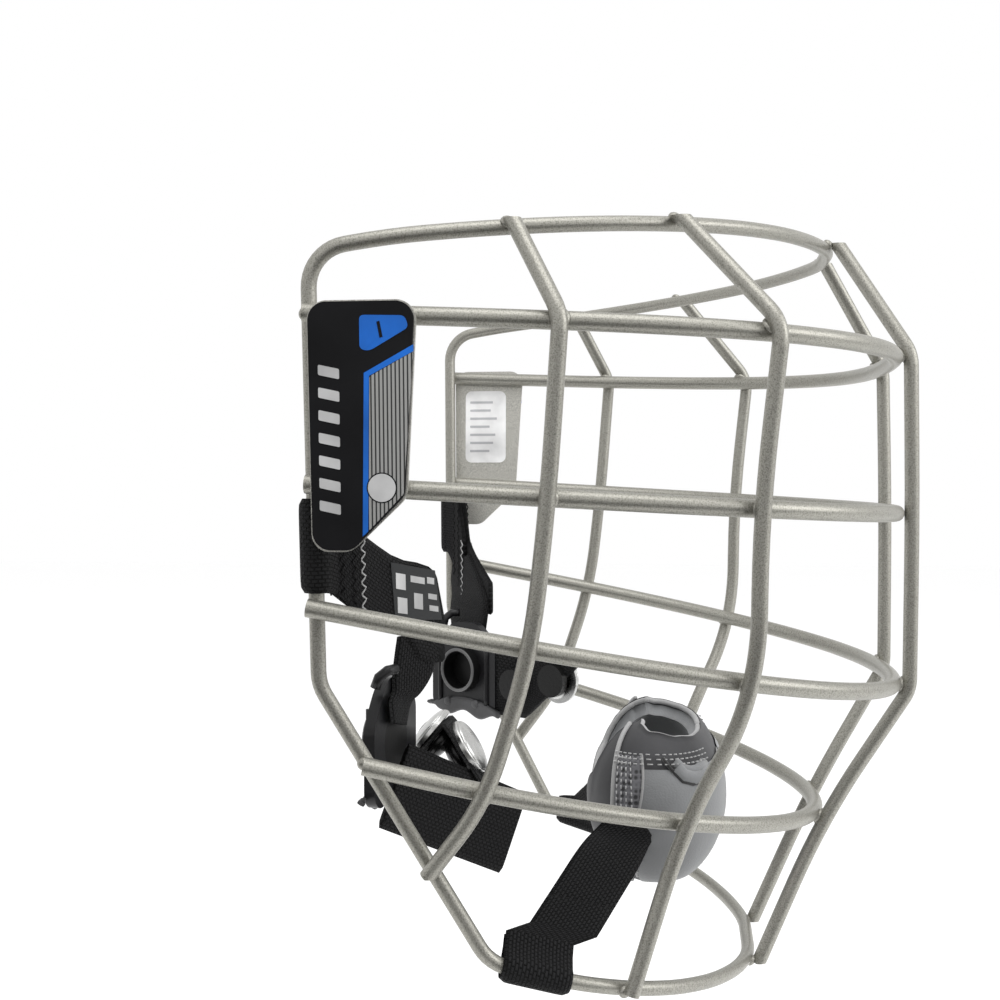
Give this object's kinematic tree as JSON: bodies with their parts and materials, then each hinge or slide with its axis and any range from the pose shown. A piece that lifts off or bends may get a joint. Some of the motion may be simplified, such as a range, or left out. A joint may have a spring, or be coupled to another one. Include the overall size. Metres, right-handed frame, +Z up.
{
  "type": "hockey face cage",
  "caption": "Welded wire face cage for an ice-hockey helmet, with side plates, webbing straps, snap tabs and a padded chin cup.",
  "frame": {"origin": "middle of the brow run of the rim wire, on the wire's own axis, where a helmet's clip grips it", "axes": "+X across the face towards the wearer's left, +Y back along the head, +Z up"},
  "size_m": [0.1964, 0.1314, 0.1739],
  "materials": {
    "cage_paint": "satin metallic",
    "plate_metal": "satin metallic",
    "badge_print": "matt",
    "label_print": "matt",
    "webbing": "woven",
    "strap_print": "printed",
    "tab_plastic": "matt",
    "socket_metal": "dark",
    "snap_chrome": "polished",
    "snap_dark": "gloss",
    "cup_shell": "matt",
    "cup_liner": "soft",
    "cup_mesh": "mesh"
  },
  "bodies": {
    "cage": {"perimeter_wire": "cage_paint", "brow_wire": "cage_paint", "eye_wire": "cage_paint", "nose_wire": "cage_paint", "mouth_wire": "cage_paint", "outer_vertical_right": "cage_paint", "outer_vertical_left": "cage_paint", "inner_vertical_right": "cage_paint", "inner_vertical_left": "cage_paint", "centre_vertical_right": "cage_paint", "centre_vertical_left": "cage_paint", "side_plate_right": "plate_metal", "side_plate_left": "plate_metal", "badge_right": "badge_print", "badge_left": "badge_print", "inner_label_left": "label_print", "chin_strap_anchor_right": "webbing", "chin_strap_anchor_left": "webbing"},
    "strap_right": {"side_strap_right": "webbing", "strap_patch_right": "strap_print"},
    "strap_left": {"side_strap_left": "webbing", "strap_patch_left": "strap_print"},
    "tab_right": {"snap_tab_right": "tab_plastic", "snap_socket_right": "socket_metal", "strap_end_right": "webbing", "snap_flap_right": "webbing", "snap_caps_right": "snap_chrome", "snap_sockets_right": "snap_dark"},
    "tab_left": {"snap_tab_left": "tab_plastic", "snap_socket_left": "socket_metal", "strap_end_left": "webbing", "snap_caps_left": "snap_chrome", "snap_sockets_left": "snap_dark"},
    "chin_straps": {"chin_strap_right": "webbing", "chin_strap_left": "webbing"},
    "chin_cup": {"chin_cup_shell": "cup_shell", "chin_cup_liner": "cup_liner", "chin_mesh_panel_right": "cup_mesh", "chin_mesh_panel_left": "cup_mesh"}
  },
  "joints": [
    {"name": "side_strap_swing_right", "type": "hinge", "parent": "cage", "child": "strap_right", "pos_m": [-0.08879, 0.10832, -0.0684], "axis": [-0.046, 0.0115, 0.9989], "range_deg": [-10, 35]},
    {"name": "side_strap_swing_left", "type": "hinge", "parent": "cage", "child": "strap_left", "pos_m": [0.08879, 0.10832, -0.0684], "axis": [0.046, 0.0115, 0.9989], "range_deg": [-35, 10]},
    {"name": "tab_turn_right", "type": "hinge", "parent": "strap_right", "child": "tab_right", "pos_m": [-0.06021, 0.09297, -0.1115], "axis": [0, 0, 1], "range_deg": [-60, 5]},
    {"name": "tab_turn_left", "type": "hinge", "parent": "strap_left", "child": "tab_left", "pos_m": [0.06021, 0.09297, -0.1115], "axis": [0, 0, 1], "range_deg": [-30, 30]},
    {"name": "chin_strap_swing", "type": "hinge", "parent": "cage", "child": "chin_straps", "pos_m": [0, 0.06554, -0.15849], "axis": [1, 0, 0], "range_deg": [-8, 8]},
    {"name": "chin_cup_tilt", "type": "hinge", "parent": "chin_straps", "child": "chin_cup", "pos_m": [0, 0.049, -0.137], "axis": [1, 0, 0], "range_deg": [-12, 12]}
  ]
}
